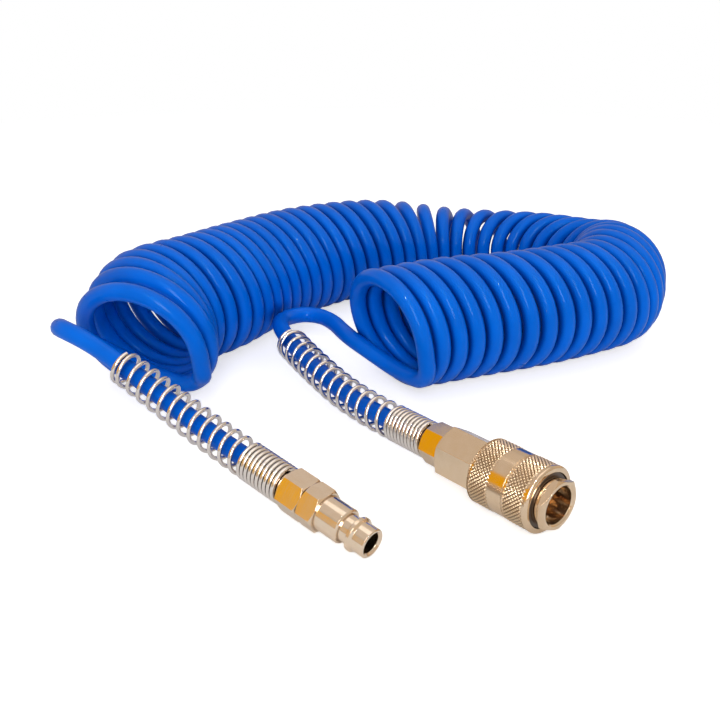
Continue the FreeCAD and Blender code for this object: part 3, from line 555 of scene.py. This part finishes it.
def outward_from_path(tree, angle):
    """Direction square to the path at each point, turned by the angle from upright."""
    tangent = add_node(tree, "GeometryNodeInputTangent").outputs[0]
    along = vector_of(tree, "SCALE", tangent, vector_of(tree, "DOT_PRODUCT", tangent, UPRIGHT))
    up = vector_of(tree, "NORMALIZE", vector_of(tree, "SUBTRACT", UPRIGHT, along))
    side = vector_of(tree, "CROSS_PRODUCT", tangent, up)
    upward = vector_of(tree, "SCALE", up, number_of(tree, "COSINE", angle))
    sideways = vector_of(tree, "SCALE", side, number_of(tree, "SINE", angle))
    return vector_of(tree, "ADD", upward, sideways)


def winding_tree(material):
    """Wire wound round a path: closed turns first, then open turns, then one closed end turn."""
    tree, sizes = new_geometry_tree("wound wire", {
        "Wire": GUARD_WIRE, "Radius": GUARD_RADIUS, "Closed start": GUARD_START,
        "Closed end": GUARD_START + CLOSED_LENGTH, "Closed turns": float(CLOSED_TURNS),
        "Open end": COUPLER_GUARD_REACH, "Open turns": float(COUPLER_GUARD_TURNS),
        "Last end": COUPLER_GUARD_REACH + CLOSED_PITCH, "Step": WIRE_STEP})
    trimmed = add_node(
        tree, "GeometryNodeTrimCurve", {"mode": "LENGTH"}, i0=sizes["Geometry"],
        i4=sizes["Closed start"], i5=sizes["Last end"])
    even = add_node(
        tree, "GeometryNodeResampleCurve", {"mode": "LENGTH"}, Curve=trimmed.outputs[0],
        Length=sizes["Step"])
    angle = number_of(tree, "MULTIPLY", turns_so_far(tree, sizes), FULL_TURN)
    helix = add_node(
        tree, "GeometryNodeSetPosition", Geometry=even.outputs[0],
        Offset=vector_of(tree, "SCALE", outward_from_path(tree, angle), sizes["Radius"]))
    section = add_node(
        tree, "GeometryNodeCurvePrimitiveCircle", Resolution=WIRE_SIDES,
        Radius=number_of(tree, "DIVIDE", sizes["Wire"], 2.0))
    wire = add_node(
        tree, "GeometryNodeCurveToMesh", Curve=helix.outputs[0], Profile_Curve=section.outputs[0],
        Fill_Caps=True)
    smooth = add_node(tree, "GeometryNodeSetShadeSmooth", Geometry=wire.outputs[0])
    finish_tree(tree, smooth.outputs[0], material)
    return tree


def hose_axis(from_plug):
    """Points of the hose's own line, from one nut outwards."""
    curve = hose.data.copy()
    curve.bevel_depth = 0
    bare = new_object("axis", curve)
    mesh = bpy.data.meshes.new_from_object(bare.evaluated_get(bpy.context.evaluated_depsgraph_get()))
    points = [vertex.co.copy() for vertex in mesh.vertices]
    bpy.data.objects.remove(bare)
    bpy.data.meshes.remove(mesh)
    return points[::-1] if from_plug else points


def make_guard(name, node, winding, from_plug, open_turns, reach):
    """Guard in its node's place: closed turns on the nut's neck, then open turns over this reach."""
    path = new_object("path", line_curve("path", hose_axis(from_plug)[:AXIS_POINTS], "POLY"))
    closed_start = GUARD_START + GUARD_WIRE / 2
    closed_end = closed_start + CLOSED_LENGTH
    guard = made_by(winding, path, name, {
        "Wire": GUARD_WIRE, "Radius": GUARD_RADIUS, "Closed start": closed_start,
        "Closed end": closed_end, "Closed turns": float(CLOSED_TURNS),
        "Open end": closed_end + reach - CLOSED_PITCH, "Open turns": open_turns - 1.0,
        "Last end": closed_end + reach})
    stands_for(guard, "hose_and_fittings", "spring_wire", node)
    return guard


coupler_winding = winding_tree(coupler_wire)
make_guard(
    "coupler_guard_coil", "coupler_spring_guard", coupler_winding, from_plug=False,
    open_turns=COUPLER_GUARD_TURNS, reach=COUPLER_GUARD_REACH)
plug_guard = make_guard(
    "plug_guard_coil", "plug_spring_guard", winding_tree(plug_wire), from_plug=True,
    open_turns=PLUG_GUARD_TURNS, reach=PLUG_GUARD_REACH)


# Sleeve

# Its front face lies this far behind the coupler's mouth
SLEEVE_START = 4.9 * MM
SLEEVE_LENGTH = 28.2 * MM
SLEEVE_RADIUS = 13.0 * MM
GRIP_RADIUS = 12.75 * MM
CHAMFER_RADIUS = 12.4 * MM
FACE_RADIUS = 12.2 * MM
EDGE_BREAK = 0.1 * MM
# Plain lip in front of the knurling, and how far its two soft edges reach along and inwards
LIP_START = 1.0 * MM
LIP_END = 1.5 * MM
FRONT_EDGE = (0.25 * MM, 0.02 * MM)
REAR_EDGE = (0.15 * MM, 0.05 * MM)
# Bores from the front: for the retaining ring, over the balls when released, on the balls, and
# over the spring
RING_BORE_RADIUS = 10.85 * MM
RING_BORE_END = 1.5 * MM
RELEASE_RADIUS = 10.4 * MM
RELEASE_END = 4.3 * MM
LOCK_RADIUS = 9.65 * MM
LOCK_START = 6.7 * MM
LOCK_END = 9.6 * MM
SPRING_BORE_RADIUS = 11.3 * MM
# Knurled bands, from their start to their end, and their diamonds
FRONT_BAND = (1.8 * MM, 11.5 * MM)
REAR_BAND = (18.05 * MM, 27.4 * MM)
KNURL_DEPTH = 0.5 * MM
KNURL_FLOOR = SLEEVE_RADIUS - KNURL_DEPTH
DIAMOND_LENGTH = 1.65 * MM
DIAMONDS_ROUND = 50
WELD_DISTANCE = 0.02 * MM
SEGMENTS = 160
SHARP_ANGLE = math.radians(35)


def diamond_points(tree, sizes, step):
    """Points along the X axis and their turns round it, in rows that stand half a step apart."""
    index = add_node(tree, "GeometryNodeInputIndex").outputs[0]
    row = number_of(tree, "FLOOR", number_of(tree, "DIVIDE", index, sizes["Diamonds round"]))
    stagger = number_of(tree, "DIVIDE", number_of(tree, "MODULO", row, 2.0), 2.0)
    angle = number_of(tree, "MULTIPLY", number_of(tree, "ADD", index, stagger), step)
    half_length = number_of(tree, "DIVIDE", sizes["Diamond length"], 2.0)
    rows_on = number_of(tree, "MULTIPLY", number_of(tree, "ADD", row, 1.0), half_length)
    place = add_node(
        tree, "ShaderNodeCombineXYZ", X=number_of(tree, "ADD", rows_on, sizes["Start"]))
    points = add_node(
        tree, "GeometryNodePoints", Position=place.outputs[0],
        Count=number_of(tree, "MULTIPLY", sizes["Diamonds round"], sizes["Rows"]))
    return points.outputs[0], add_node(tree, "ShaderNodeCombineXYZ", X=angle).outputs[0]


def diamond(tree, sizes, step):
    """Low four-sided point that stands on the band's floor, above the X axis."""
    floor_radius = number_of(tree, "SUBTRACT", sizes["Outer radius"], sizes["Depth"])
    half_step = number_of(tree, "DIVIDE", step, 2.0)
    lift = add_node(tree, "ShaderNodeCombineXYZ", Z=floor_radius)
    scale = add_node(
        tree, "ShaderNodeCombineXYZ", X=number_of(tree, "DIVIDE", sizes["Diamond length"], 2.0),
        Y=number_of(tree, "MULTIPLY", half_step, floor_radius), Z=sizes["Depth"])
    point = add_node(
        tree, "GeometryNodeMeshCone", {"fill_type": "NONE"}, Vertices=4, Radius_Top=0.0,
        Radius_Bottom=1.0, Depth=1.0)
    return add_node(
        tree, "GeometryNodeTransform", Geometry=point.outputs[0], Translation=lift.outputs[0],
        Scale=scale.outputs[0]).outputs[0]


def knurl_tree(material):
    """Diamonds round the X axis in staggered rows, each a low four-sided point."""
    tree, sizes = new_geometry_tree("knurled band", {
        "Outer radius": SLEEVE_RADIUS, "Depth": KNURL_DEPTH, "Start": FRONT_BAND[0],
        "Diamond length": DIAMOND_LENGTH, "Diamonds round": DIAMONDS_ROUND, "Rows": 1})
    step = number_of(tree, "DIVIDE", FULL_TURN, sizes["Diamonds round"])
    points, turned = diamond_points(tree, sizes, step)
    copies = add_node(
        tree, "GeometryNodeInstanceOnPoints", Points=points, Instance=diamond(tree, sizes, step),
        Rotation=turned)
    joined = add_node(tree, "GeometryNodeRealizeInstances", Geometry=copies.outputs[0])
    welded = add_node(
        tree, "GeometryNodeMergeByDistance", Geometry=joined.outputs[0], Distance=WELD_DISTANCE)
    finish_tree(tree, welded.outputs[0], material)
    return tree


def sleeve_outline():
    """Lathe outline of the sleeve: distance from its front face, and radius."""
    chamfer = SLEEVE_RADIUS - EDGE_BREAK - CHAMFER_RADIUS
    rear = SLEEVE_LENGTH - EDGE_BREAK
    lip = [
        (0.0, FACE_RADIUS), (EDGE_BREAK, CHAMFER_RADIUS),
        (EDGE_BREAK + chamfer, CHAMFER_RADIUS + chamfer),
        (LIP_START - FRONT_EDGE[0], SLEEVE_RADIUS - FRONT_EDGE[1]), (LIP_START, SLEEVE_RADIUS),
        (LIP_END, SLEEVE_RADIUS), (LIP_END + REAR_EDGE[0], SLEEVE_RADIUS - REAR_EDGE[1])]
    bands = [
        (FRONT_BAND[0], KNURL_FLOOR), (FRONT_BAND[1], KNURL_FLOOR),
        (FRONT_BAND[1] + EDGE_BREAK, GRIP_RADIUS), (REAR_BAND[0] - EDGE_BREAK, GRIP_RADIUS),
        (REAR_BAND[0], KNURL_FLOOR), (REAR_BAND[1], KNURL_FLOOR)]
    tail = [
        (REAR_BAND[1] + EDGE_BREAK, SLEEVE_RADIUS - EDGE_BREAK),
        (rear - chamfer, SLEEVE_RADIUS - EDGE_BREAK), (rear, CHAMFER_RADIUS),
        (SLEEVE_LENGTH, FACE_RADIUS)]
    bore = [
        (SLEEVE_LENGTH, SPRING_BORE_RADIUS), (LOCK_END, SPRING_BORE_RADIUS),
        (LOCK_END, LOCK_RADIUS), (LOCK_START, LOCK_RADIUS), (RELEASE_END, RELEASE_RADIUS),
        (RING_BORE_END, RELEASE_RADIUS), (RING_BORE_END, RING_BORE_RADIUS)]
    return [(0.0, RING_BORE_RADIUS)] + lip + bands + tail + bore


def turned_mesh(name, outline, material):
    """Closed outline of (x, radius) turned about the X axis, faces outwards."""
    rows = len(outline)
    places = []
    faces = []
    for segment in range(SEGMENTS):
        angle = FULL_TURN * segment / SEGMENTS
        places += [(x, radius * math.sin(angle), radius * math.cos(angle)) for x, radius in outline]
        here = segment * rows
        after = (segment + 1) % SEGMENTS * rows
        for row in range(rows):
            below = (row + 1) % rows
            faces.append((here + row, here + below, after + below, after + row))
    mesh = bpy.data.meshes.new(name)
    mesh.from_pydata(places, [], faces)
    mesh.materials.append(material)
    mesh.shade_smooth()
    mesh.set_sharp_from_angle(angle=SHARP_ANGLE)
    return mesh


def knurled_band(name, tree, start, end):
    """Band of as many rows of diamonds as fit between its ends, in the middle of that space."""
    half_length = DIAMOND_LENGTH / 2
    rows = int((end - start) / half_length) - 1
    spare = (end - start - (rows + 1) * half_length) / 2
    return made_by(tree, new_object("seed", bpy.data.meshes.new("seed")), name, {
        "Outer radius": SLEEVE_RADIUS, "Depth": KNURL_DEPTH, "Start": start + spare,
        "Diamond length": DIAMOND_LENGTH, "Diamonds round": DIAMONDS_ROUND, "Rows": rows})


def make_sleeve():
    tree = knurl_tree(knurl_metal)
    pieces = [
        new_object("sleeve_body", turned_mesh("sleeve_body", sleeve_outline(), coupler_metal)),
        knurled_band("sleeve_knurl_front", tree, *FRONT_BAND),
        knurled_band("sleeve_knurl_rear", tree, *REAR_BAND)]
    turn = COUPLER_BACK.to_track_quat("X", "Z").to_matrix().to_4x4()
    onto_coupler = Matrix.Translation(COUPLER_MOUTH + COUPLER_BACK * SLEEVE_START) @ turn
    for piece in pieces:
        piece.data.transform(onto_coupler)
        stands_for(piece, "sleeve", "nickel_plated_brass", "coupler_sleeve")


make_sleeve()


# Springs inside the coupler

INNER_WIRE = 1.4 * MM
# Length that the one closed turn takes up at each end
INNER_CLOSED = 1.5 * MM


def make_inner_spring(name, node, open_turns):
    """Spring in its node's place, built at its node's full length; the real spring shortens towards its
    rear end as the joint moves back.
    """
    low, high = [Vector(corner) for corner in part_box(node)]
    middle = (low + high) / 2
    rear = Vector((low.x, middle.y, middle.z))
    front = Vector((high.x, middle.y, middle.z))
    length = high.x - low.x
    start = INNER_WIRE / 2
    end = length - INNER_WIRE / 2
    path = new_object("path", line_curve("path", [rear, front], "POLY"))
    spring = made_by(coupler_winding, path, name, {
        "Wire": INNER_WIRE, "Radius": (high.z - low.z - INNER_WIRE) / 2,
        "Closed start": start, "Closed end": start + INNER_CLOSED, "Closed turns": 1.0,
        "Open end": end - INNER_CLOSED, "Open turns": float(open_turns), "Last end": end})
    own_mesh(spring)
    stands_for(spring, "hose_and_fittings", "spring_wire", node)


make_inner_spring("sleeve_spring_coil", "sleeve_return_spring", open_turns=5)
make_inner_spring("valve_spring_coil", "valve_spring", open_turns=4)


# Floor, light and camera

FLOOR_REACH = 6.0
FLOOR_COLOUR = (0.80, 0.80, 0.80)
# Glow that lifts the floor to white for the camera, and the ring in which it turns to plain white
FLOOR_LIFT = 0.65
FLOOR_FADE = (0.35, 0.9)
HORIZON = (0.28, 0.18, 0.10)
SURROUND_LOW = (0.66, 0.50, 0.33)
SURROUND_HIGH = (0.50, 0.49, 0.48)
SURROUND_FADE = (0.0, 0.8)
STUDIO_CENTRE = Vector((-0.05, 0.06, 0.02))
SQUARE_CORNERS = ((-1, -1), (1, -1), (1, 1), (-1, 1))

# Viewpoint of the photograph, with a 48 mm lens on a square 36 mm frame
CAMERA_PLACE = Vector((0.25448, -0.20496, 0.19344))
CAMERA_TARGET = Vector((-0.0797, 0.0855, 0.0))
LENS_IN_MM = 48
FRAME_IN_MM = 36
NEAREST_SEEN = 0.01


def plain_sheet(name, corners, material):
    """Flat four-cornered sheet that belongs to the studio."""
    mesh = bpy.data.meshes.new(name)
    mesh.from_pydata(corners, [], [(0, 1, 2, 3)])
    mesh.materials.append(material)
    sheet = new_object(name, mesh)
    return sheet


def bare_material(name):
    """Material without a shader yet."""
    material = bpy.data.materials.new(name)
    material.use_nodes = True
    material.node_tree.nodes.clear()
    return material, material.node_tree


def floor_material():
    """White to the camera but for the object's shadow, and a dark horizon in reflections."""
    material, tree = bare_material("white_floor")
    path = add_node(tree, "ShaderNodeLightPath").outputs
    glossy = path["Is Glossy Ray"]
    seen = number_of(tree, "MAXIMUM", path["Is Camera Ray"], path["Is Transmission Ray"])
    far = remapped(tree, vector_of(tree, "LENGTH", object_place(tree)), FLOOR_FADE)
    matt = add_node(tree, "ShaderNodeBsdfDiffuse", Color=(*FLOOR_COLOUR, 1))
    glow = add_node(
        tree, "ShaderNodeEmission", Strength=number_of(tree, "MULTIPLY", seen, FLOOR_LIFT))
    near_look = add_node(tree, "ShaderNodeAddShader", i0=matt.outputs[0], i1=glow.outputs[0])
    far_look = add_node(
        tree, "ShaderNodeEmission", Color=mixed_colour(tree, glossy, WHITE, HORIZON),
        Strength=number_of(tree, "MAXIMUM", seen, glossy))
    look = add_node(
        tree, "ShaderNodeMixShader", i0=far, i1=near_look.outputs[0], i2=far_look.outputs[0])
    add_node(tree, "ShaderNodeOutputMaterial", Surface=look.outputs[0])
    return material


def make_floor():
    corners = [(x * FLOOR_REACH, y * FLOOR_REACH, 0) for x, y in SQUARE_CORNERS]
    plain_sheet("floor", corners, floor_material())


def make_world():
    """Even studio surround: warm low down, grey overhead, and white where the camera sees it."""
    world = bpy.data.worlds.new("studio")
    bpy.context.scene.world = world
    world.use_nodes = True
    tree = world.node_tree
    tree.nodes.clear()
    place = add_node(tree, "ShaderNodeTexCoord").outputs["Generated"]
    way = add_node(tree, "ShaderNodeSeparateXYZ", Vector=place)
    height = remapped(tree, way.outputs["Z"], SURROUND_FADE)
    colour = mixed_colour(tree, height, SURROUND_LOW, SURROUND_HIGH)
    seen = add_node(tree, "ShaderNodeLightPath").outputs["Is Camera Ray"]
    back = add_node(
        tree, "ShaderNodeBackground", Color=mixed_colour(tree, seen, colour, WHITE), Strength=1.0)
    add_node(tree, "ShaderNodeOutputWorld", Surface=back.outputs[0])


def make_card(name, direction, distance, width, height, colour):
    """Coloured reflector card that only shows in reflections."""
    material, tree = bare_material(name)
    glow = add_node(tree, "ShaderNodeEmission", Color=(*colour, 1), Strength=1.0)
    add_node(tree, "ShaderNodeOutputMaterial", Surface=glow.outputs[0])
    away = Vector(direction).normalized()
    turn = away.to_track_quat("Z", "Y").to_matrix().to_4x4()
    place = Matrix.Translation(STUDIO_CENTRE + away * distance) @ turn
    corners = [place @ Vector((x * width / 2, y * height / 2, 0)) for x, y in SQUARE_CORNERS]
    card = plain_sheet(name, corners, material)
    card.visible_camera = False
    card.visible_diffuse = False
    card.visible_shadow = False


def add_lamp(name, direction, distance, width, height, watts, only_shine=False):
    """Area lamp that faces the object from this direction; only_shine leaves it out of matt light."""
    light = bpy.data.lights.new(name, "AREA")
    light.shape = "RECTANGLE"
    light.size = width
    light.size_y = height
    light.energy = watts
    away = Vector(direction).normalized()
    lamp = new_object(name, light)
    lamp.location = STUDIO_CENTRE + away * distance
    lamp.rotation_euler = away.to_track_quat("Z", "Y").to_euler()
    lamp.visible_camera = False
    lamp.visible_diffuse = not only_shine


def make_camera():
    data = bpy.data.cameras.new("camera")
    data.sensor_width = FRAME_IN_MM
    data.lens = LENS_IN_MM
    data.clip_start = NEAREST_SEEN
    camera = new_object("camera", data)
    camera.location = CAMERA_PLACE
    camera.rotation_euler = (CAMERA_TARGET - CAMERA_PLACE).to_track_quat("-Z", "Y").to_euler()
    bpy.context.scene.camera = camera


make_floor()
make_world()
make_camera()
add_lamp(
    "overhead_softbox", direction=(0.1, 0.15, 1.0), distance=1.2, width=1.2, height=1.2, watts=2.4)
add_lamp(
    "front_softbox", direction=(0.80, -0.70, 0.5), distance=1.1, width=0.25, height=0.7, watts=5.8)
for name, direction in (("left_spark", (0.35, -0.5, 0.9)), ("right_spark", (0.50, -0.30, 0.9))):
    add_lamp(name, direction, distance=1.0, width=0.05, height=0.05, watts=1.3, only_shine=True)
make_card(
    "gold_card", direction=(-0.69, -0.65, 0.32), distance=1.0, width=1.2, height=0.55,
    colour=(0.86, 0.44, 0.0))
make_card(
    "ceiling_card", direction=(0.0, 0.0, 1.0), distance=1.5, width=3.5, height=3.5,
    colour=(0.64, 0.56, 0.49))

bpy.context.scene.view_settings.view_transform = "Standard"
